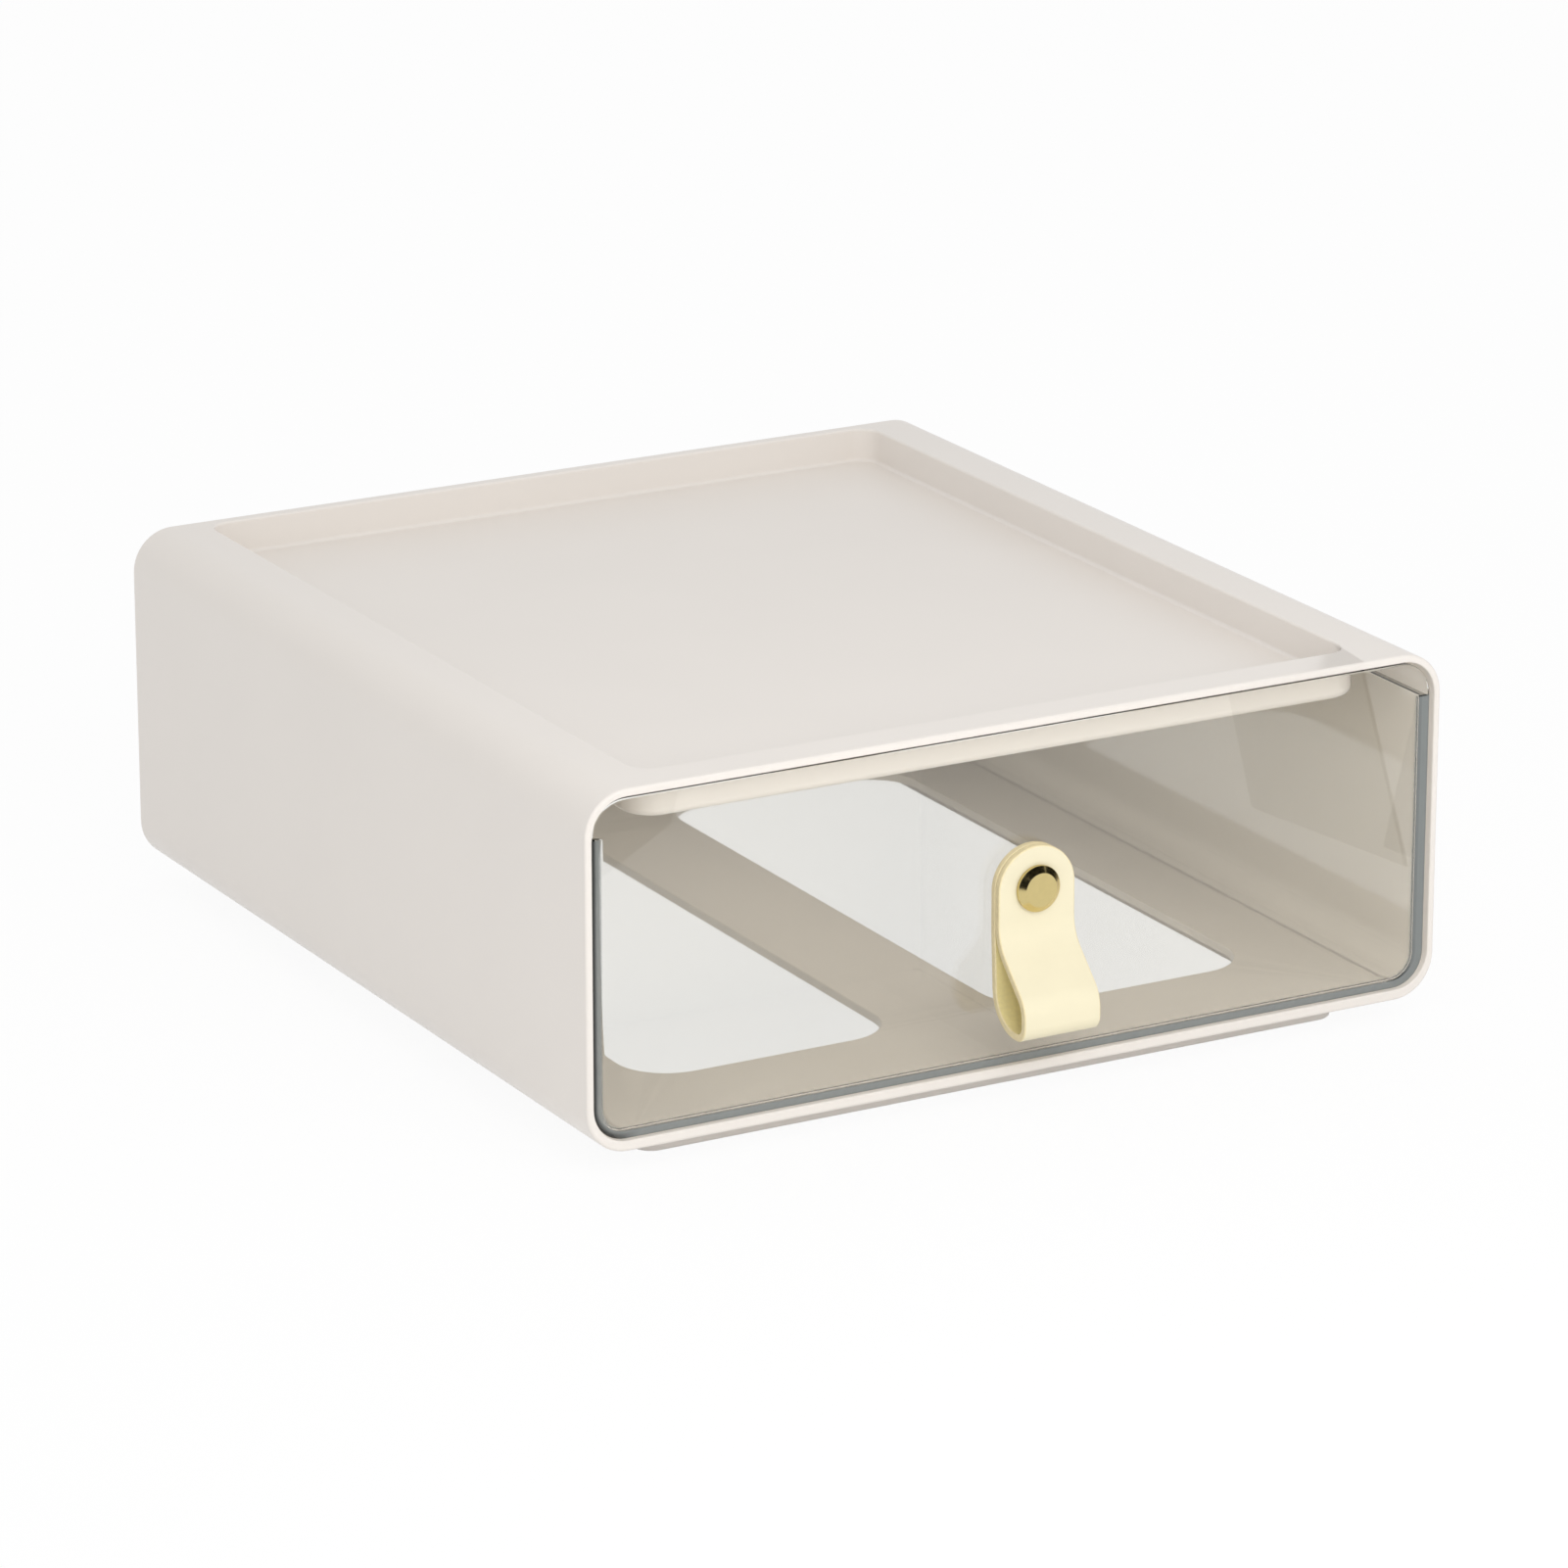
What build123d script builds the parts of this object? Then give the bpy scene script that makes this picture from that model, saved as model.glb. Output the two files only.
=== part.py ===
# Stackable drawer box: a moulded casing with a stacking tray and foot, a clear drawer, and a leather strap pull.
# Millimetres. +Z is up and the front faces -Y. The origin is the centre of the footprint, the strap's loop
# included, on the surface that the box stands on.

import os

from build123d import *

# Casing, a sleeve with a closed back
casing_width = 260.0
casing_depth = 276.0
casing_height = 98.0  # from the rim's lower edge to the top
casing_corner = 12.0  # outer corner of the sleeve's section
side_wall = 2.0
top_wall = 2.1
floor_wall = 3.0
back_wall = 2.2
bay_corner = 10.0  # inner corner of the sleeve's section
rim_outer_round = 0.9
rim_inner_round = 0.5
back_round = 1.0

# Stacking tray, recessed into the top
tray_side_lip = 21.7
tray_front_lip = 12.0
tray_back_lip = 4.1
tray_depth = 10.0
tray_floor_wall = 2.4
tray_side_wall = 2.5
tray_corner = 6.5
tray_edge_round = 0.7
tray_foot_round = 1.2  # where the tray's wall meets its floor
tray_under_round = 2.2  # lower outer edge of the tray's shell

# Floor windows, side by side
window_bar = 34.0  # floor left between the two windows
window_side_margin = 35.0
window_front_margin = 36.0
window_back_margin = 40.0
window_corner = 15.0
window_edge_round = 0.4
underside_recess = 0.6  # the floor's underside is let in by this inside the foot

# Foot ring, which drops into the tray of a box below
foot_height = 7.0
foot_wall = 2.5
nest_clearance = 0.6
foot_edge_round = 0.8

# Drawer bin
front_recess = 1.5
bin_wall = 2.0
bin_floor = 1.5
bin_side_gap = 0.5
bin_rear_gap = 0.5
panel_top_gap = 0.8
bin_under_tray_gap = 0.5
bin_inner_round = 2.0  # inside, along the floor at the front and back walls
bin_rear_round = 2.0
bin_edge_round = 0.6
panel_edge_round = 0.5

# Strap pull
strap_width = 23.2
strap_thickness = 2.0
strap_offset = 2.0  # to the right of the drawer's middle
strap_layer_gap = 0.1
strap_reach = 16.5  # how far the loop stands in front of the casing's rim
strap_drop = 37.8  # from the stud's axis to the loop's lowest point
back_part_drop = 10.5  # from the stud's axis to where the back layer leaves the panel
back_part_bend = 60.0
loop_back_lean = 1.5  # the back layer comes forward by this on its way down
loop_back_bend = 10.5
loop_front_bend = 3.5
shoulder_drop = 27.9  # from the stud's axis to the loop's front shoulder
shoulder_bend = 8.0
neck_drop = 14.1  # from the stud's axis to where the front layer leaves the back one
neck_bend = 13.0

# Stud, screw and washer that clamp the strap
stud_height = 49.5  # of the axis, above the bin's underside
stud_flange_radius = 6.4
stud_flange_thickness = 1.0
stud_face_radius = 4.65
stud_bevel_height = 1.4
stud_edge_round = 0.25
barrel_radius = 1.8
barrel_end_gap = 0.4  # short of the panel's inner face
barrel_hole_clearance = 0.1
clamp_gap = 0.1  # between the strap, the panel and the stud's flange
screw_radius = 1.15
screw_bore_clearance = 0.05
screw_head_radius = 3.1
screw_head_height = 1.8
screw_slot_width = 0.8
screw_slot_depth = 0.9
screw_tip_gap = 0.6
screw_edge_round = 0.5
washer_radius = 5.0
washer_thickness = 0.8
washer_hole_clearance = 0.2

# Cuts run past the part by overrun, and shapes within same_place of each other count as level
overrun = 1.0
same_place = 0.01

# Places that follow from the sizes
front_y = -(casing_depth - strap_reach) / 2
back_y = front_y + casing_depth
rim_z = foot_height
top_z = rim_z + casing_height

bay_width = casing_width - 2 * side_wall
bay_floor_z = rim_z + floor_wall
bay_top_z = top_z - top_wall
bay_back_y = back_y - back_wall

tray_width = casing_width - 2 * tray_side_lip
tray_front_y = front_y + tray_front_lip
tray_back_y = back_y - tray_back_lip
tray_mid_y = (tray_front_y + tray_back_y) / 2
tray_length = tray_back_y - tray_front_y
tray_floor_z = top_z - tray_depth
tray_under_z = tray_floor_z - tray_floor_wall
shell_width = tray_width + 2 * tray_side_wall
shell_back_y = bay_back_y + back_wall / 2

foot_width = tray_width - 2 * nest_clearance
foot_length = tray_length - 2 * nest_clearance
foot_corner = tray_corner - nest_clearance

window_width = casing_width / 2 - window_side_margin - window_bar / 2
window_x = window_bar / 2 + window_width / 2
window_front_y = front_y + window_front_margin
window_back_y = back_y - window_back_margin
window_length = window_back_y - window_front_y
window_mid_y = (window_front_y + window_back_y) / 2

panel_y = front_y + front_recess
panel_back_y = panel_y + bin_wall
bin_back_y = bay_back_y - bin_rear_gap
bin_length = bin_back_y - panel_y
bin_width = bay_width - 2 * bin_side_gap
bin_corner = bay_corner - bin_side_gap
bin_bottom_z = bay_floor_z
bin_inner_z = bin_bottom_z + bin_floor
bin_top_z = tray_under_z - bin_under_tray_gap
panel_top_z = bay_top_z - panel_top_gap

stud_z = bin_bottom_z + stud_height
strap_back_y = panel_y - clamp_gap
back_layer_y = strap_back_y - strap_thickness / 2
front_layer_y = back_layer_y - strap_thickness - strap_layer_gap
strap_front_y = front_layer_y - strap_thickness / 2
flange_y = strap_front_y - clamp_gap
bevel_y = flange_y - stud_flange_thickness
face_y = bevel_y - stud_bevel_height
barrel_end_y = panel_back_y - barrel_end_gap
barrel_bore_radius = screw_radius + screw_bore_clearance
hole_radius = barrel_radius + barrel_hole_clearance
washer_back_y = panel_back_y + washer_thickness
screw_back_y = washer_back_y + screw_head_height
screw_tip_y = flange_y + screw_tip_gap

# The strap's middle line, down the back layer, round the loop and up the front layer
strap_top_z = stud_z + strap_width / 2
loop_bottom_z = stud_z - strap_drop + strap_thickness / 2
loop_front_y = front_y - strap_reach + strap_thickness / 2
strap_route = [
    (back_layer_y, strap_top_z),
    (back_layer_y, stud_z - back_part_drop),
    (back_layer_y - loop_back_lean, loop_bottom_z),
    (loop_front_y, loop_bottom_z),
    (loop_front_y, stud_z - shoulder_drop),
    (front_layer_y, stud_z - neck_drop),
    (front_layer_y, strap_top_z),
]
strap_bends = [back_part_bend, loop_back_bend, loop_front_bend, shoulder_bend, neck_bend]


def cross_section(y):
    """The plane across the box at this depth, facing the front, with its own y along +Z."""
    return Plane.XZ.offset(-y)


def at_height(shape_list, z):
    """The shapes whose centre lies at this height."""
    return shape_list.filter_by(lambda shape: abs(shape.center().Z - z) < same_place)


def at_depth(shape_list, y):
    """The shapes whose centre lies at this depth."""
    return shape_list.filter_by(lambda shape: abs(shape.center().Y - y) < same_place)


# Casing
with BuildPart() as casing:
    with BuildSketch(cross_section(front_y)):
        with Locations((0, rim_z + casing_height / 2)):
            RectangleRounded(casing_width, casing_height, casing_corner)
    extrude(amount=-casing_depth)
    fillet(casing.faces().sort_by(Axis.Y)[-1].edges(), back_round)

    with BuildSketch(cross_section(front_y)):
        with Locations((0, (bay_floor_z + bay_top_z) / 2)):
            RectangleRounded(bay_width, bay_top_z - bay_floor_z, bay_corner)
    extrude(amount=-(bay_back_y - front_y), mode=Mode.SUBTRACT)

    # The tray's shell hangs into the bay and runs straight into the back wall. Its recess is cut out of it
    with BuildSketch(Plane.XY.offset(tray_under_z)):
        with Locations((0, tray_mid_y)):
            RectangleRounded(shell_width, tray_length + 2 * tray_side_wall, tray_corner + tray_side_wall)
            Rectangle(shell_width, shell_back_y - tray_mid_y, align=(Align.CENTER, Align.MIN))
    extrude(amount=bay_top_z + top_wall / 2 - tray_under_z)
    fillet(casing.faces().sort_by(Axis.Y)[0].outer_wire().edges(), rim_outer_round)
    fillet(casing.faces().sort_by(Axis.Y)[0].inner_wires()[0].edges(), rim_inner_round)
    under_edges = at_height(casing.edges(), tray_under_z)
    fillet(under_edges.filter_by(lambda edge: edge.center().Y < tray_back_y - same_place), tray_under_round)

    with BuildSketch(Plane.XY.offset(top_z)):
        with Locations((0, tray_mid_y)):
            RectangleRounded(tray_width, tray_length, tray_corner)
    extrude(amount=-tray_depth, mode=Mode.SUBTRACT)
    fillet(casing.faces().sort_by(Axis.Z)[-1].inner_wires()[0].edges(), tray_edge_round)
    fillet(at_height(casing.edges(), tray_floor_z), tray_foot_round)

    # The foot ring, with the floor's underside let in inside it
    with BuildSketch(Plane.XY):
        with Locations((0, tray_mid_y)):
            RectangleRounded(foot_width, foot_length, foot_corner)
    extrude(amount=foot_height)
    with BuildSketch(Plane.XY):
        with Locations((0, tray_mid_y)):
            RectangleRounded(
                foot_width - 2 * foot_wall, foot_length - 2 * foot_wall, foot_corner - foot_wall
            )
    extrude(amount=foot_height + underside_recess, mode=Mode.SUBTRACT)
    fillet(casing.faces().sort_by(Axis.Z)[0].outer_wire().edges(), foot_edge_round)

    # The two windows
    with BuildSketch(Plane.XY.offset(rim_z)):
        with Locations((-window_x, window_mid_y), (window_x, window_mid_y)):
            RectangleRounded(window_width, window_length, window_corner)
    extrude(amount=floor_wall, mode=Mode.SUBTRACT)
    bay_floor = at_height(casing.faces().filter_by(Axis.Z), bay_floor_z)[0]
    fillet([edge for wire in bay_floor.inner_wires() for edge in wire.edges()], window_edge_round)

casing.part.label = "casing"


# Drawer bin
with BuildPart() as drawer_bin:
    with BuildSketch(cross_section(panel_y)):
        with Locations((0, (bin_bottom_z + panel_top_z) / 2)):
            RectangleRounded(bin_width, panel_top_z - bin_bottom_z, bin_corner)
    extrude(amount=-bin_length)
    rear_face = drawer_bin.faces().sort_by(Axis.Y)[-1]
    fillet(rear_face.edges(), bin_rear_round)

    # Only the front panel stands higher than the side walls
    with BuildSketch(cross_section(panel_back_y)):
        with Locations((0, (bin_top_z + top_z) / 2)):
            Rectangle(bin_width + overrun, top_z - bin_top_z)
    extrude(amount=-bin_length, mode=Mode.SUBTRACT)

    # The hollow, open at the top
    with BuildSketch(cross_section(panel_back_y)):
        with Locations((0, (bin_inner_z + top_z + bin_corner) / 2)):
            RectangleRounded(bin_width - 2 * bin_wall, top_z + bin_corner - bin_inner_z, bin_corner - bin_wall)
    extrude(amount=-(bin_length - 2 * bin_wall), mode=Mode.SUBTRACT)
    for end_y in (panel_back_y, bin_back_y - bin_wall):
        below_rim = at_depth(drawer_bin.edges(), end_y).filter_by(
            lambda edge: edge.center().Z < bin_inner_z + bin_corner
        )
        fillet(below_rim, bin_inner_round)

    bin_rim = at_height(drawer_bin.edges(), bin_top_z)
    fillet(bin_rim.filter_by(lambda edge: edge.center().Y > panel_back_y + same_place), bin_edge_round)
    fillet(drawer_bin.faces().sort_by(Axis.Y)[0].edges(), panel_edge_round)

    # The stud's hole through the panel
    with BuildSketch(cross_section(panel_y)):
        with Locations((strap_offset, stud_z)):
            Circle(hole_radius)
    extrude(amount=-bin_wall, mode=Mode.SUBTRACT)

drawer_bin.part.label = "drawer_bin"


# Strap pull, one folded strap whose two ends lie under the stud
with BuildPart() as pull_strap:
    with BuildSketch(Plane.YZ.offset(strap_offset - strap_width / 2)):
        with BuildLine():
            FilletPolyline(*strap_route, radius=strap_bends)
        trace(line_width=strap_thickness)
    extrude(amount=strap_width)
    # The ends are round about the stud
    with BuildSketch(cross_section(front_y - strap_reach)):
        with Locations((strap_offset, stud_z)):
            Circle(strap_width / 2)
        with Locations((strap_offset, stud_z - strap_drop / 2)):
            Rectangle(strap_width, strap_drop)
    extrude(amount=-(strap_reach + front_recess), mode=Mode.INTERSECT)
    with BuildSketch(cross_section(strap_back_y)):
        with Locations((strap_offset, stud_z)):
            Circle(hole_radius)
    extrude(amount=strap_back_y - strap_front_y, mode=Mode.SUBTRACT)

pull_strap.part.label = "pull_strap"

# The stud, screw and washer are turned about one axis
stud_plane = Plane(origin=(strap_offset, 0, stud_z), x_dir=(1, 0, 0), z_dir=(0, 0, 1))
stud_axis = Axis((strap_offset, 0, stud_z), (0, 1, 0))

with BuildPart() as stud_head:
    with BuildSketch(stud_plane):
        with BuildLine():
            Polyline(
                (0, face_y),
                (stud_face_radius, face_y),
                (stud_flange_radius, bevel_y),
                (stud_flange_radius, flange_y),
                (barrel_radius, flange_y),
                (barrel_radius, barrel_end_y),
                (barrel_bore_radius, barrel_end_y),
                (barrel_bore_radius, flange_y),
                (0, flange_y),
                close=True,
            )
        make_face()
    revolve(axis=stud_axis)
    flange_edges = stud_head.edges().filter_by(GeomType.CIRCLE).filter_by(
        lambda edge: edge.radius > stud_face_radius - same_place
    )
    fillet(flange_edges, stud_edge_round)

stud_head.part.label = "stud_head"

with BuildPart() as stud_screw:
    with BuildSketch(stud_plane):
        with BuildLine():
            Polyline(
                (0, screw_tip_y),
                (screw_radius, screw_tip_y),
                (screw_radius, washer_back_y),
                (screw_head_radius, washer_back_y),
                (screw_head_radius, screw_back_y),
                (0, screw_back_y),
                close=True,
            )
        make_face()
    revolve(axis=stud_axis)
    fillet(stud_screw.faces().sort_by(Axis.Y)[-1].edges(), screw_edge_round)
    # A cross slot for the driver
    with BuildSketch(cross_section(screw_back_y)):
        with Locations((strap_offset, stud_z)):
            Rectangle(2 * screw_head_radius - 2 * screw_slot_width, screw_slot_width)
            Rectangle(screw_slot_width, 2 * screw_head_radius - 2 * screw_slot_width)
    extrude(amount=screw_slot_depth, mode=Mode.SUBTRACT)

stud_screw.part.label = "stud_screw"

with BuildPart() as stud_washer:
    with BuildSketch(cross_section(panel_back_y)):
        with Locations((strap_offset, stud_z)):
            Circle(washer_radius)
            Circle(screw_radius + washer_hole_clearance, mode=Mode.SUBTRACT)
    extrude(amount=-washer_thickness)

stud_washer.part.label = "stud_washer"

os.makedirs("parts", exist_ok=True)
for piece in (casing, drawer_bin, pull_strap, stud_head, stud_screw, stud_washer):
    export_step(piece.part, f"parts/{piece.part.label}.step")
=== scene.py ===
from math import pi, radians, tan

import bpy
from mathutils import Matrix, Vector


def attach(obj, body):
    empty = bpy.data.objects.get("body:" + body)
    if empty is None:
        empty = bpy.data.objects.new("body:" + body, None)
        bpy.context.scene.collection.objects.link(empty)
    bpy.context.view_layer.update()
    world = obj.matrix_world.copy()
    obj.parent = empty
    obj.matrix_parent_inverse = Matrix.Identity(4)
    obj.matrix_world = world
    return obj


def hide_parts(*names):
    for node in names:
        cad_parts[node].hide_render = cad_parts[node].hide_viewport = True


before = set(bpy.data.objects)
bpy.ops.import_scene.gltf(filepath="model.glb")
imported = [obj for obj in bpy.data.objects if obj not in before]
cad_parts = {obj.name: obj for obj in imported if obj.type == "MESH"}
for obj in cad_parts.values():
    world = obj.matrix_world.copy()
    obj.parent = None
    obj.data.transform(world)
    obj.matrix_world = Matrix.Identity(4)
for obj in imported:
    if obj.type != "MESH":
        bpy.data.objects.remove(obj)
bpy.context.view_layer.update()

scene = bpy.context.scene
mm = 0.001
print("frame loaded")


class Value:
    # one socket of a tree, so that masks can be written as plain sums and products
    def __init__(self, recipe, socket):
        self.recipe, self.socket = recipe, socket

    def __add__(self, other): return self.recipe.maths("ADD", self, other)
    def __radd__(self, other): return self.recipe.maths("ADD", other, self)
    def __sub__(self, other): return self.recipe.maths("SUBTRACT", self, other)
    def __rsub__(self, other): return self.recipe.maths("SUBTRACT", other, self)
    def __mul__(self, other): return self.recipe.maths("MULTIPLY", self, other)
    def __rmul__(self, other): return self.recipe.maths("MULTIPLY", other, self)


class Recipe:
    # one material, or the sky, whose nodes all come from node()
    def __init__(self, name, owners=bpy.data.materials):
        self.owner = owners.new(name)
        self.owner.use_nodes = True
        self.tree = self.owner.node_tree
        self.tree.nodes.clear()
        self.places = self.node("ShaderNodeTexCoord", out="Object")

    def node(self, kind, settings=None, sockets=None, out=0):
        made = self.tree.nodes.new(kind)
        for name, value in (settings or {}).items():
            setattr(made, name, value)
        for name, value in (sockets or {}).items():
            if isinstance(value, Value):
                self.tree.links.new(value.socket, made.inputs[name])
            else:
                made.inputs[name].default_value = value
        return Value(self, made.outputs[out]) if made.outputs else None

    def maths(self, operation, *values):
        return self.node("ShaderNodeMath", {"operation": operation}, dict(enumerate(values)))

    def axis(self, letter):
        # one coordinate of the place on the piece, in metres
        return self.node("ShaderNodeSeparateXYZ", {}, {0: self.places}, letter)

    def noise(self, scale, detail=2.0):
        sockets = {"Vector": self.places, "Scale": scale, "Detail": detail}
        return self.node("ShaderNodeTexNoise", {}, sockets, "Fac")

    def rayIs(self, kind):
        return self.node("ShaderNodeLightPath", out=f"Is {kind} Ray")

    def clamped(self, value):
        return self.node("ShaderNodeClamp", {}, {0: value})

    def between(self, factor, low, high):
        # a number that runs from low to high with the factor
        return low + factor * (high - low)

    def past(self, value, limit, softness):
        # 0 up to the limit and 1 past it, with a soft step
        return self.node("ShaderNodeMapRange", {"interpolation_type": "SMOOTHSTEP"}, {
            "Value": value, "From Min": limit - softness / 2, "From Max": limit + softness / 2,
        })

    def blend(self, factor, first, second):
        # a colour between two colours
        sockets = {0: factor, 6: first, 7: second}
        return self.node("ShaderNodeMix", {"data_type": "RGBA"}, sockets, 2)

    def shaded(self, factor, colour, shades):
        # a colour that runs from one shade of itself to another with the factor
        return self.blend(factor, *(brightened(colour, share) for share in shades))

    def bump(self, height, distance):
        sockets = {"Height": height, "Distance": distance, "Strength": 1.0}
        return self.node("ShaderNodeBump", {}, sockets, "Normal")

    def principled(self, **sockets):
        spaced = {name.replace("_", " "): value for name, value in sockets.items()}
        return self.node("ShaderNodeBsdfPrincipled", {}, spaced)

    def mixShaders(self, factor, first, second):
        return self.node("ShaderNodeMixShader", {}, {0: factor, 1: first, 2: second})

    def finish(self, surface, kind="Material"):
        self.node(f"ShaderNodeOutput{kind}", {}, {"Surface": surface})
        return self.owner


def brightened(colour, share):
    return (*(channel * share for channel in colour[:3]), 1.0)


def takeUp(piece):
    # makes the piece the only one selected, in object mode
    if bpy.context.object and bpy.context.object.mode != "OBJECT":
        bpy.ops.object.mode_set(mode="OBJECT")
    bpy.ops.object.select_all(action="DESELECT")
    piece.select_set(True)
    bpy.context.view_layer.objects.active = piece


def applied(piece, kind, **settings):
    takeUp(piece)
    modifier = piece.modifiers.new(kind.title(), kind)
    for name, value in settings.items():
        setattr(modifier, name, value)
    bpy.ops.object.modifier_apply(modifier=modifier.name)


def named(name):
    piece = bpy.context.object
    piece.name = piece.data.name = name
    return piece


def hideFrom(thing, rays):
    for kind in rays:
        setattr(thing, f"visible_{kind}", False)


def facing(direction):
    return direction.to_track_quat("-Z", "Y").to_euler()


def pickVertices(piece, wanted):
    # selects by place and leaves the piece in edit mode
    takeUp(piece)
    bpy.ops.object.mode_set(mode="EDIT")
    bpy.ops.mesh.select_all(action="DESELECT")
    bpy.ops.object.mode_set(mode="OBJECT")
    for vertex in piece.data.vertices:
        vertex.select = wanted(vertex.co)
    bpy.ops.object.mode_set(mode="EDIT")


def extrude(slide):
    bpy.ops.mesh.extrude_region_move(TRANSFORM_OT_translate={"value": slide})


def smooth(piece, angle):
    takeUp(piece)
    bpy.ops.object.shade_smooth_by_angle(angle=radians(angle), keep_sharp_edges=False)


def smoothFlats(piece, angle, weight=100):
    # smooth, with the large faces kept flat beside their round edges
    smooth(piece, angle)
    applied(piece, "WEIGHTED_NORMAL", keep_sharp=True, weight=weight)


def mergedCopy(node, name, angle):
    # the CAD node's own shape, joined up so that it can be shaded smooth
    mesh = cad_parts[node].data.copy()
    piece = bpy.data.objects.new(name, mesh)
    mesh.name = name
    scene.collection.objects.link(piece)
    takeUp(piece)
    bpy.ops.object.mode_set(mode="EDIT")
    bpy.ops.mesh.select_all(action="SELECT")
    bpy.ops.mesh.remove_doubles(threshold=0.002 * mm)
    bpy.ops.object.mode_set(mode="OBJECT")
    if mesh.has_custom_normals:
        bpy.ops.mesh.customdata_custom_splitnormals_clear()
    smoothFlats(piece, angle)
    return piece


def dress(piece, node, body, material=None):
    if material:
        piece.data.materials.clear()
        piece.data.materials.append(material)
    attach(piece, body)
    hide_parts(node)


# the camera comes first, so that everything is judged in the photograph's view
view = {
    "place": (-0.94446, -1.69067, 0.68138),
    "tiltDown": 18.0379,
    "turnRight": 29.1896,
    "lens": 168.645,
    "sensor": 36.0,
    "clipStart": 0.05,
}
bpy.ops.object.camera_add(
    location=view["place"],
    rotation=(radians(90 - view["tiltDown"]), 0, radians(-view["turnRight"])),
)
camera = named("camera")
camera.data.lens = view["lens"]
camera.data.sensor_width = view["sensor"]
camera.data.clip_start = view["clipStart"]
scene.camera = camera
print("camera placed")


studio = {
    "floorSize": 12.0,
    "floorColour": (0.92, 0.92, 0.92, 1.0),
    "whiteShare": 0.93,
    "skyStrength": 0.98,
    "lamps": [
        # name, place, aim, size, watts, colour
        ("mouthLamp", (-0.08, -0.62, 0.42), (0.0, 0.0, 0.05), 0.45, 1.5, (1.0, 0.99, 0.975)),
        ("frontLamp", (-0.75, -1.5, 0.42), (0.0, 0.0, 0.05), 0.7, 1.9, (1.0, 0.99, 0.98)),
        ("topLamp", (-0.2, 0.2, 2.4), (0.0, 0.0, 0.05), 1.8, 1.5, (1.0, 0.99, 0.98)),
        # a weak fill inside the casing, for the floor under the tray
        ("bayLamp", (0.0, 0.02, 0.0915), (0.0, 0.02, 0.0), 0.2, 0.068, (1.0, 0.985, 0.955)),
    ],
    "lampHidden": ("camera", "glossy", "transmission"),
    # black cards round the stud that only reflections show
    "cards": [
        # name, direction from the stud, width, height
        ("leftCard", (-0.60, -0.73, 0.24), 0.092, 0.085),
        ("topCard", (0.15, -0.62, 0.77), 0.165, 0.08),
        ("rightCard", (0.95, -0.13, 0.26), 0.085, 0.092),
    ],
    "cardDistance": 0.11,
    "cardColour": (0.01, 0.01, 0.01, 1.0),
    "cardHidden": ("camera", "diffuse", "transmission", "shadow", "volume_scatter"),
}


def seenWhite(recipe, share=1.0):
    # 1 for rays by way of clear plastic, and a share of it for those from the camera or reflected
    straight, reflected, through = (
        recipe.rayIs(kind) for kind in ("Camera", "Glossy", "Transmission")
    )
    return recipe.clamped((straight + reflected) * share + through)


def makeFloor():
    bpy.ops.mesh.primitive_plane_add(size=studio["floorSize"])
    floor = named("studioFloor")
    recipe = Recipe("studioFloor")
    paper = recipe.node("ShaderNodeBsdfDiffuse", {}, {"Color": studio["floorColour"]})
    white = recipe.node("ShaderNodeEmission", {}, {"Strength": 1.0})
    look = recipe.mixShaders(seenWhite(recipe, studio["whiteShare"]), paper, white)
    floor.data.materials.append(recipe.finish(look))


def makeSky():
    sky = Recipe("studioSky", bpy.data.worlds)
    strength = sky.between(seenWhite(sky), studio["skyStrength"], 1.0)
    background = sky.node("ShaderNodeBackground", {}, {"Strength": strength})
    scene.world = sky.finish(background, "World")


def makeLamps():
    for name, place, aim, size, watts, colour in studio["lamps"]:
        towards = Vector(aim) - Vector(place)
        bpy.ops.object.light_add(type="AREA", location=place, rotation=facing(towards))
        lamp = named(name)
        lamp.data.shape = "SQUARE"
        lamp.data.size = size
        lamp.data.energy = watts
        lamp.data.color = colour
        hideFrom(lamp, studio["lampHidden"])


def makeCards():
    recipe = Recipe("studioCard")
    paper = recipe.node("ShaderNodeBsdfDiffuse", {}, {"Color": studio["cardColour"]})
    black = recipe.finish(paper)
    for name, direction, width, height in studio["cards"]:
        towards = Vector(direction).normalized()
        place = Vector(stud["place"]) + towards * studio["cardDistance"]
        bpy.ops.mesh.primitive_plane_add(size=1.0, location=place, rotation=facing(towards))
        card = named(name)
        card.scale = (width, height, 1.0)
        bpy.ops.object.transform_apply()
        card.data.materials.append(black)
        hideFrom(card, studio["cardHidden"])


makeFloor()
makeSky()
makeLamps()
scene.view_settings.view_transform = "Standard"
print("studio lit")


casing = {
    "smoothAngle": 32,
    "colour": (0.81, 0.765, 0.718, 1.0),
    "cloudScale": 22.0,
    "cloudShades": (0.985, 1.015),
    "grainScale": 2600.0,
    "grainDetail": 3.0,
    "grainShade": 0.8,
    "grainShare": 0.06,
    "grainDepth": 0.001 * mm,
    "roughness": (0.27, 0.35),
    "index": 1.46,
}


def casingPlastic():
    recipe = Recipe("casingPlastic")
    cloud = recipe.noise(casing["cloudScale"])
    grain = recipe.noise(casing["grainScale"], casing["grainDetail"])
    shade = recipe.shaded(cloud, casing["colour"], casing["cloudShades"])
    darker = brightened(casing["colour"], casing["grainShade"])
    return recipe.finish(recipe.principled(
        Base_Color=recipe.blend(casing["grainShare"] * grain, shade, darker),
        Roughness=recipe.between(grain, *casing["roughness"]),
        Normal=recipe.bump(grain, casing["grainDepth"]),
        IOR=casing["index"],
    ))


shell = mergedCopy("casing", "casingShell", casing["smoothAngle"])
dress(shell, "casing", "casing", casingPlastic())
print("casing dressed")


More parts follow.
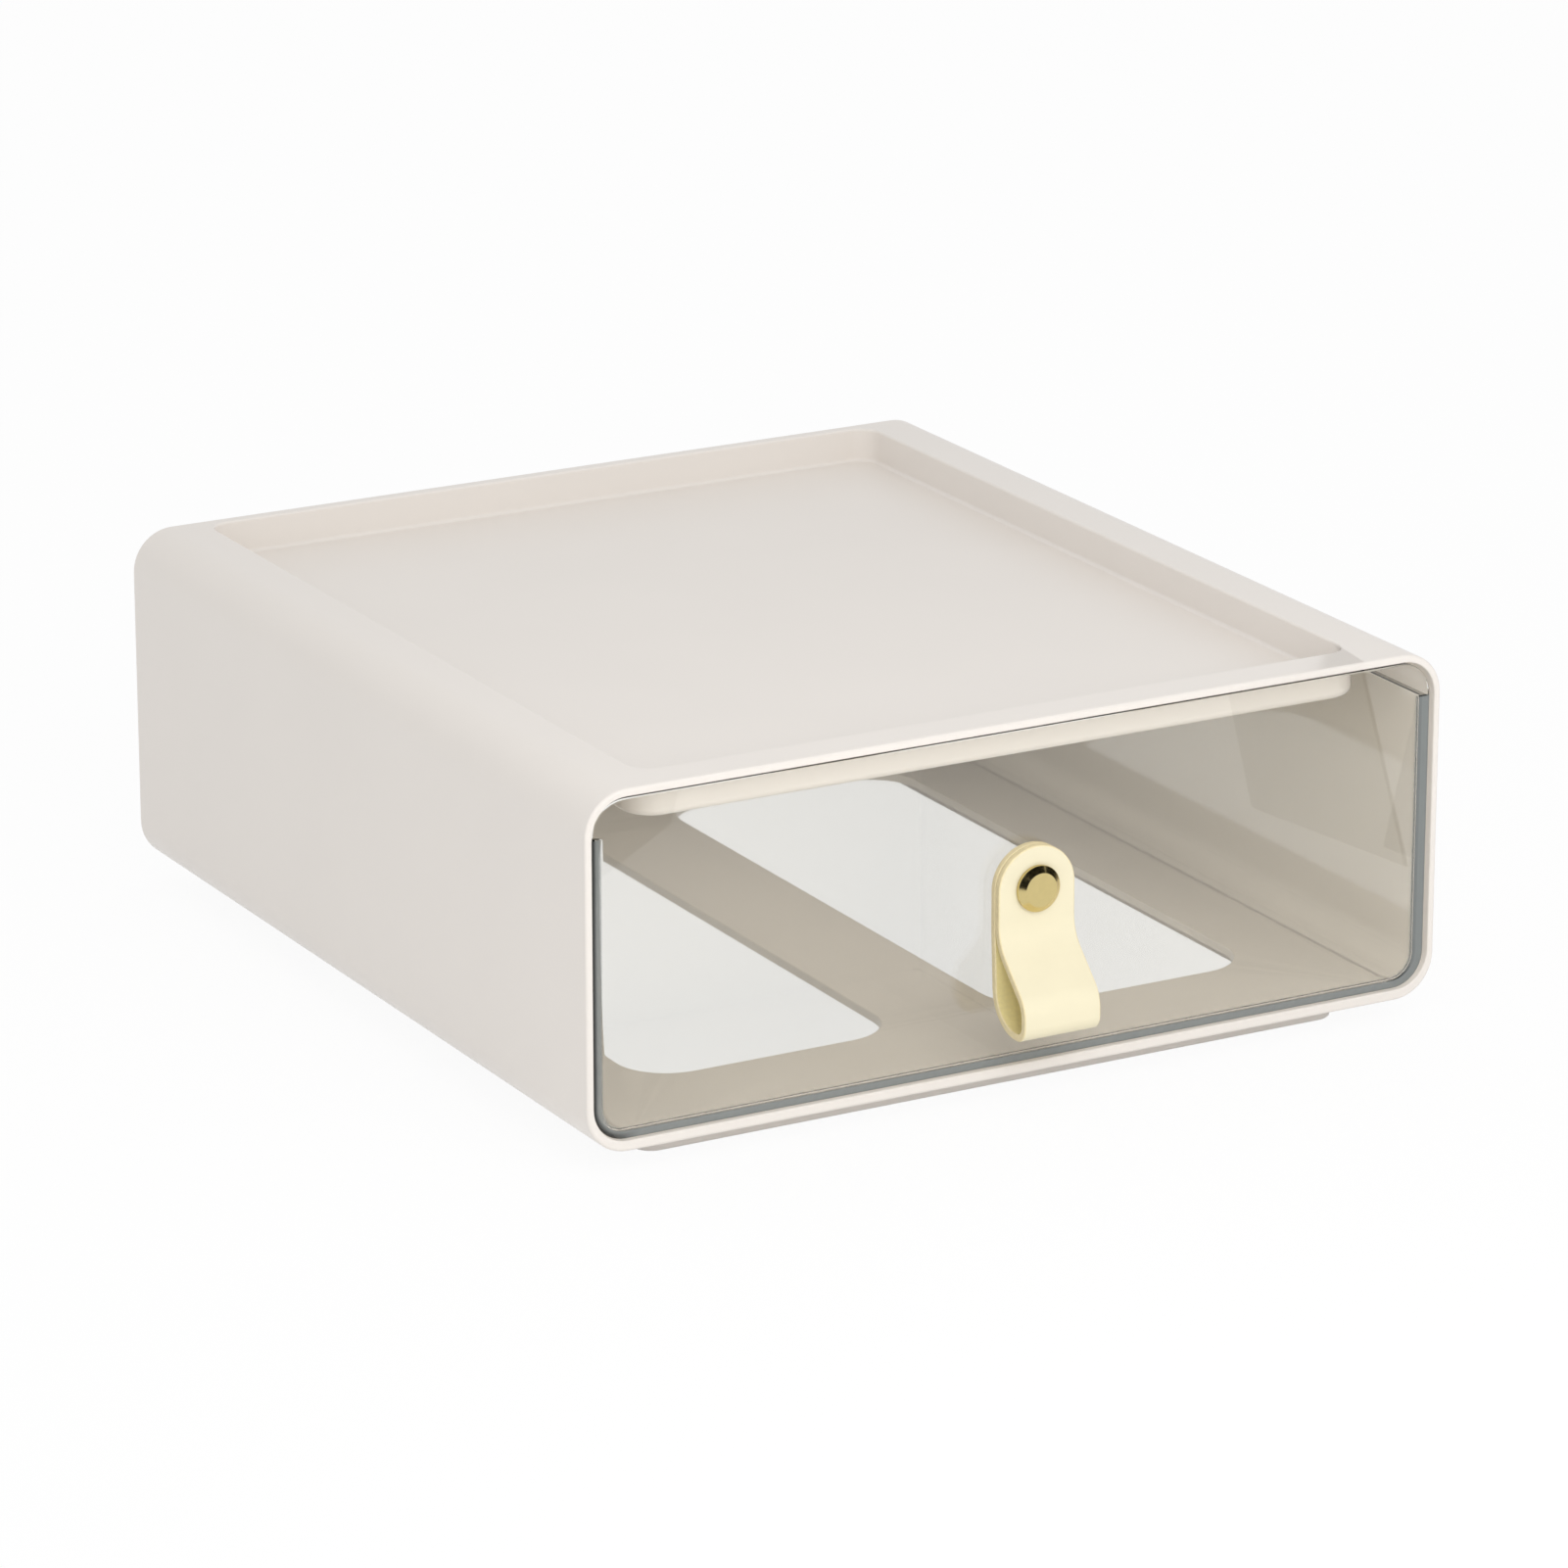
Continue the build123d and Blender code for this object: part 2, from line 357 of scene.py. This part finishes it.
drawer = {
    "smoothAngle": 32,
    "tint": (0.997, 0.997, 0.983, 1.0),
    # what is left of the light that lights something through the bin
    "passed": (0.985, 0.978, 0.955, 1.0),
    "hazeScale": 60.0,
    "roughness": (0.01, 0.03),
    "index": 1.49,
    # the front panel's outline: painted shade, a grey painted where the walls and the floor stand
    # behind it, in place of the dark edges that clear plastic shows there
    "halfWidth": 127.5 * mm,
    "bottom": 10.0 * mm,
    "corner": 9.5 * mm,
    "shift": -0.5 * mm,
    "wallTop": 92.1 * mm,
    "panelBack": -126.1 * mm,
    # how far in from the outline the painted shade reaches, and how softly each mask ends
    "sideEdge": 3.2 * mm,
    "sideFade": 0.6 * mm,
    "bottomEdge": 2.3 * mm,
    "bottomFade": 0.7 * mm,
    "shadowLineWidth": 1.6 * mm,
    "planeFade": 0.2 * mm,
    "topFade": 0.1 * mm,
    # painted shade colours: grey round the outline, a near-black painted shadow line at the left
    # edge, a warm grey on the walls' tops
    "grey": (0.22, 0.238, 0.235, 1.0),
    "paintedShadowLineGrey": (0.02, 0.021, 0.02, 1.0),
    "paintedWallTopShade": (0.34, 0.32, 0.28, 1.0),
    "paintedShadeShare": 0.92,
    "greyRoughness": 0.25,
}


def paintedEdgeShade(recipe):
    # how much painted shade the bin gets, round the panel's edge and along the walls' tops, and
    # its colour: a grey in place of the dark edges that clear plastic shows there
    x, y, z = (recipe.axis(letter) for letter in "XYZ")
    bend = drawer["corner"]
    beside = recipe.maths("ABSOLUTE", x - drawer["shift"])
    outX = recipe.maths("MAXIMUM", beside - (drawer["halfWidth"] - bend), 0.0)
    outZ = recipe.maths("MAXIMUM", (drawer["bottom"] + bend) - z, 0.0)
    reach = recipe.maths("SQRT", outX * outX + outZ * outZ)
    sides = recipe.past(reach, bend - drawer["sideEdge"], drawer["sideFade"])
    sides = sides * recipe.past(outX, 0.5 * bend, bend)
    foot = recipe.past(reach, bend - drawer["bottomEdge"], drawer["bottomFade"])
    front = 1.0 - recipe.past(y, drawer["panelBack"], drawer["planeFade"])
    above = recipe.past(z, drawer["wallTop"], drawer["planeFade"])
    panel = recipe.maths("MAXIMUM", sides, foot) * front * (1.0 - above)
    # a near-black painted shadow line, along the left edge only
    leftShadowLine = recipe.past(reach, bend - drawer["shadowLineWidth"], drawer["shadowLineWidth"])
    leftShadowLine = leftShadowLine * (1.0 - recipe.past(x, bend - drawer["halfWidth"], bend))
    shade = recipe.blend(leftShadowLine, drawer["grey"], drawer["paintedShadowLineGrey"])
    # the walls' tops are painted a warm grey shade
    tops = recipe.past(z, drawer["wallTop"] - drawer["topFade"], drawer["topFade"])
    tops = (1.0 - front) * tops
    paintedShadeAmount = recipe.maths("MAXIMUM", panel, tops) * drawer["paintedShadeShare"]
    return paintedShadeAmount, recipe.blend(tops, shade, drawer["paintedWallTopShade"])


def clearPlastic():
    recipe = Recipe("clearPlastic")
    haze = recipe.noise(drawer["hazeScale"])
    clear = recipe.principled(
        Base_Color=drawer["tint"],
        Roughness=recipe.between(haze, *drawer["roughness"]),
        Transmission_Weight=1.0,
        IOR=drawer["index"],
    )
    # painted shade: an opaque grey surface mixed in round the panel's edge and along the walls'
    # tops
    paintedShadeAmount, grey = paintedEdgeShade(recipe)
    edge = recipe.principled(
        Base_Color=grey, Roughness=drawer["greyRoughness"], IOR=drawer["index"],
    )
    seen = recipe.mixShaders(paintedShadeAmount, clear, edge)
    through = recipe.node("ShaderNodeBsdfTransparent", {}, {"Color": drawer["passed"]})
    lighting = recipe.clamped(recipe.rayIs("Shadow") + recipe.rayIs("Diffuse"))
    return recipe.finish(recipe.mixShaders(lighting, seen, through))


clearBin = mergedCopy("drawer_bin", "clearBin", drawer["smoothAngle"])
dress(clearBin, "drawer_bin", "drawer", clearPlastic())
print("drawer dressed")


strap = {
    "width": 23.2 * mm,
    "thickness": 2.0 * mm,
    "offset": 2.0 * mm,
    "studHeight": 59.5 * mm,
    # middle line of the folded strap in mm, as (y, z), with the bend at each corner
    "route": [
        (-129.35, 78.0), (-129.35, 49.0), (-130.85, 22.7), (-145.25, 22.7),
        (-145.25, 31.6), (-131.45, 45.4), (-131.45, 78.0),
    ],
    "bends": [60.0, 10.5, 3.5, 8.0, 13.0],
    "bendStep": 6,
    # the strip starts too wide and too long, and the outline cuts it
    "spareWidth": 4.0 * mm,
    "outlineDrop": 60.0 * mm,
    "holeRadius": 1.9 * mm,
    "cutterSteps": 96,
    "front": -151.0 * mm,
    "back": -127.0 * mm,
    "edgeRound": 0.35 * mm,
    "edgeAngle": 50,
    "smoothAngle": 40,
    "normalWeight": 80,
    # the coated outside
    "grainColour": (0.83, 0.765, 0.56, 1.0),
    "grainShades": (0.97, 1.02),
    "grainRoughness": (0.48, 0.6),
    "grainDepth": 0.01 * mm,
    "cloudScale": 140.0,
    "cloudDetail": 3.0,
    "poreScale": 1900.0,
    "cloudShare": 0.5,
    "index": 1.45,
    # the napped inside and the cut edge; the inside's deeper, more saturated gold is partly the
    # flesh side's own colour and partly painted bounced light from inside the loop
    "fleshAndBounceColour": (0.86, 0.76, 0.39, 1.0),
    "edgeColour": (0.84, 0.73, 0.46, 1.0),
    "napScale": 900.0,
    "napDetail": 4.0,
    "napShades": (0.88, 1.1),
    "napRoughness": (0.75, 0.95),
    "napDepth": 0.03 * mm,
}


def strapLeather():
    recipe = Recipe("strapLeather")
    cloud = recipe.noise(strap["cloudScale"], strap["cloudDetail"])
    pores = recipe.node(
        "ShaderNodeTexVoronoi", {"feature": "DISTANCE_TO_EDGE"},
        {"Vector": recipe.places, "Scale": strap["poreScale"]}, "Distance",
    )
    return recipe.finish(recipe.principled(
        Base_Color=recipe.shaded(cloud, strap["grainColour"], strap["grainShades"]),
        Roughness=recipe.between(cloud, *strap["grainRoughness"]),
        Normal=recipe.bump(pores + strap["cloudShare"] * cloud, strap["grainDepth"]),
        IOR=strap["index"],
    ))


def roughLeather(name, colour):
    recipe = Recipe(name)
    nap = recipe.noise(strap["napScale"], strap["napDetail"])
    return recipe.finish(recipe.principled(
        Base_Color=recipe.shaded(nap, colour, strap["napShades"]),
        Roughness=recipe.between(nap, *strap["napRoughness"]),
        Normal=recipe.bump(nap, strap["napDepth"]),
    ))


def bendAt(before, corner, after, bend):
    # where a bend starts, its centre, and how far it turns
    came, goes = (corner - before).normalized(), (after - corner).normalized()
    turn = came.angle_signed(goes)
    side = Vector((came.y, -came.x)) * (1 if turn > 0 else -1)
    start = corner - came * bend * tan(abs(turn) / 2)
    return start, start + side * bend, turn


def makeStrip():
    # one edge across the strap is extruded down the straights and spun round the bends
    points = [Vector(place) * mm for place in strap["route"]]
    half = strap["width"] / 2 + strap["spareWidth"]
    bpy.ops.mesh.primitive_plane_add(size=2 * half)
    piece = named("leatherPull")
    pickVertices(piece, lambda place: place.y > 0)
    bpy.ops.mesh.delete(type="VERT")
    bpy.ops.mesh.select_all(action="SELECT")
    here = points[0]
    bpy.ops.transform.translate(value=(strap["offset"], here.x + half, here.y))
    for before, at, after, bend in zip(points, points[1:], points[2:], strap["bends"]):
        start, centre, turn = bendAt(before, at, after, bend * mm)
        extrude((0, start.x - here.x, start.y - here.y))
        bpy.ops.mesh.spin(
            steps=max(2, round(abs(turn) / radians(strap["bendStep"]))),
            angle=turn, center=(0, centre.x, centre.y), axis=(1, 0, 0),
        )
        bpy.ops.object.mode_set(mode="OBJECT")
        tip = next(vertex.co for vertex in piece.data.vertices if vertex.select)
        here = Vector((tip.y, tip.z))
        bpy.ops.object.mode_set(mode="EDIT")
    extrude((0, points[-1].x - here.x, points[-1].y - here.y))
    bpy.ops.object.mode_set(mode="OBJECT")
    return piece


def cutter(name, radius, drop):
    # a block with a round top about the stud, or a whole round bar where it drops by nothing
    bpy.ops.mesh.primitive_circle_add(
        vertices=strap["cutterSteps"], radius=radius, fill_type="NGON",
        location=(strap["offset"], strap["front"], strap["studHeight"]), rotation=(pi / 2, 0, 0),
    )
    block = named(name)
    bpy.ops.object.transform_apply()
    pickVertices(block, lambda place: place.z < strap["studHeight"] + 0.001 * mm)
    bpy.ops.transform.translate(value=(0, 0, -drop))
    bpy.ops.mesh.select_all(action="SELECT")
    extrude((0, strap["back"] - strap["front"], 0))
    bpy.ops.mesh.select_all(action="SELECT")
    bpy.ops.mesh.normals_make_consistent(inside=False)
    bpy.ops.object.mode_set(mode="OBJECT")
    return block


def cut(piece, block, operation):
    applied(piece, "BOOLEAN", object=block, operation=operation, solver="EXACT")
    bpy.data.objects.remove(block)


def makeStrap(materials):
    # the materials are those of the outside, the inside and the cut edge
    piece = makeStrip()
    for material in materials:
        piece.data.materials.append(material)
    applied(
        piece, "SOLIDIFY", thickness=strap["thickness"], offset=0.0, use_even_offset=True,
        material_offset=1, material_offset_rim=2,
    )
    for block, operation in (
        (cutter("strapOutline", strap["width"] / 2, strap["outlineDrop"]), "INTERSECT"),
        (cutter("strapHole", strap["holeRadius"], 0.0), "DIFFERENCE"),
    ):
        for material in materials:
            block.data.materials.append(material)
        for face in block.data.polygons:
            face.material_index = 2
        cut(piece, block, operation)
    applied(
        piece, "BEVEL", width=strap["edgeRound"], segments=3, limit_method="ANGLE",
        angle_limit=radians(strap["edgeAngle"]), material=2, harden_normals=False,
    )
    smoothFlats(piece, strap["smoothAngle"], strap["normalWeight"])
    return piece


leathers = [
    strapLeather(),
    # the inside's leather, whose deeper gold is partly painted bounced light
    roughLeather("fleshLeatherAndBounce", strap["fleshAndBounceColour"]),
    roughLeather("edgeLeather", strap["edgeColour"]),
]
pull = makeStrap(leathers)
dress(pull, "pull_strap", "pull")
print("strap dressed")


# the stud, its screw and its washer are turned about one axis
turning = {
    "axis": (2.0 * mm, 0.0, 59.5 * mm),
    "steps": 72,
    "edgeAngle": 25,
    "smoothAngle": 40,
    "ringScale": 9000.0,
    "ringDetail": 2.0,
    "cloudScale": 500.0,
    "cloudDetail": 3.0,
    "metalShades": (0.93, 1.05),
}


def turned(name, design):
    # a half section drawn point by point, then spun round the axis
    x, _, z = turning["axis"]
    places = [Vector((x + radius * mm, y * mm, z)) for radius, y in design["section"]]
    bpy.ops.mesh.primitive_plane_add(size=1.0)
    piece = named(name)
    pickVertices(piece, lambda place: place.x > 0 or place.y > 0)
    bpy.ops.mesh.delete(type="VERT")
    bpy.ops.mesh.select_all(action="SELECT")
    bpy.ops.transform.translate(value=places[0] - Vector((-0.5, -0.5, 0)))
    for here, there in zip(places, places[1:]):
        extrude(there - here)
    bpy.ops.mesh.select_all(action="SELECT")
    bpy.ops.mesh.spin(steps=turning["steps"], angle=2 * pi, center=turning["axis"], axis=(0, 1, 0))
    bpy.ops.mesh.select_all(action="SELECT")
    bpy.ops.mesh.remove_doubles(threshold=0.005 * mm)
    bpy.ops.mesh.normals_make_consistent(inside=False)
    bpy.ops.object.mode_set(mode="OBJECT")
    applied(
        piece, "BEVEL", width=design["edgeRound"], segments=3, limit_method="ANGLE",
        angle_limit=radians(turning["edgeAngle"]),
    )
    smoothFlats(piece, turning["smoothAngle"])
    return piece


def metal(name, design):
    recipe = Recipe(name)
    x, _, z = turning["axis"]
    across, up = recipe.axis("X") - x, recipe.axis("Z") - z
    radius = recipe.maths("SQRT", across * across + up * up)
    rings = recipe.node(
        "ShaderNodeTexNoise", {"noise_dimensions": "1D"},
        {"W": radius, "Scale": turning["ringScale"], "Detail": turning["ringDetail"]},
    )
    cloud = recipe.noise(turning["cloudScale"], turning["cloudDetail"])
    return recipe.finish(recipe.principled(
        Base_Color=recipe.shaded(cloud, design["colour"], turning["metalShades"]),
        Metallic=1.0,
        Roughness=recipe.between(cloud, *design["roughness"]),
        Normal=recipe.bump(rings, design["markDepth"]),
    ))


stud = {
    # the middle of its face, which the cards stand round
    "place": (2.0 * mm, -135.0 * mm, 59.5 * mm),
    # half section in mm, as (radius, y), here and for the screw and the washer
    "section": [
        (0, -134.95), (4.65, -134.95), (6.4, -133.55), (6.4, -132.55), (1.8, -132.55),
        (1.8, -126.65), (1.2, -126.65), (1.2, -132.55), (0, -132.55),
    ],
    "edgeRound": 0.12 * mm,
    "colour": (0.66, 0.54, 0.25, 1.0),
    "roughness": (0.16, 0.26),
    "markDepth": 0.004 * mm,
}

makeCards()
head = turned("studHead", stud)
dress(head, "stud_head", "drawer", metal("studBrass", stud))


screw = {
    "section": [
        (0, -131.95), (1.15, -131.95), (1.15, -125.45),
        (3.1, -125.45), (3.1, -123.65), (0, -123.65),
    ],
    "edgeRound": 0.25 * mm,
    # the cross in its head
    "slotLength": 4.6 * mm,
    "slotWidth": 0.8 * mm,
    "slotDepth": 0.9 * mm,
    "colour": (0.60, 0.60, 0.60, 1.0),
    "roughness": (0.25, 0.4),
    "markDepth": 0.006 * mm,
}


def cutCross(piece):
    x, _, z = turning["axis"]
    top = screw["section"][-1][1] * mm
    for turn in (0, pi / 2):
        bpy.ops.mesh.primitive_cube_add(size=1.0, location=(x, top, z), rotation=(0, turn, 0))
        slot = named("driverSlot")
        slot.scale = (screw["slotLength"], 2 * screw["slotDepth"], screw["slotWidth"])
        bpy.ops.object.transform_apply()
        cut(piece, slot, "DIFFERENCE")
    smooth(piece, turning["smoothAngle"])


fastener = turned("studScrew", screw)
cutCross(fastener)
dress(fastener, "stud_screw", "drawer", metal("screwSteel", screw))


washer = {
    "section": [
        (1.35, -126.25), (5.0, -126.25), (5.0, -125.45), (1.35, -125.45), (1.35, -126.25),
    ],
    "edgeRound": 0.15 * mm,
    "colour": (0.82, 0.82, 0.79, 1.0),
    "shades": (0.97, 1.02),
    "cloudScale": 400.0,
    "roughness": (0.35, 0.5),
    "grainDepth": 0.02 * mm,
}


def washerNylon():
    recipe = Recipe("washerNylon")
    cloud = recipe.noise(washer["cloudScale"])
    return recipe.finish(recipe.principled(
        Base_Color=recipe.shaded(cloud, washer["colour"], washer["shades"]),
        Roughness=recipe.between(cloud, *washer["roughness"]),
        Normal=recipe.bump(cloud, washer["grainDepth"]),
    ))


ring = turned("studWasher", washer)
dress(ring, "stud_washer", "drawer", washerNylon())
print("stud dressed")
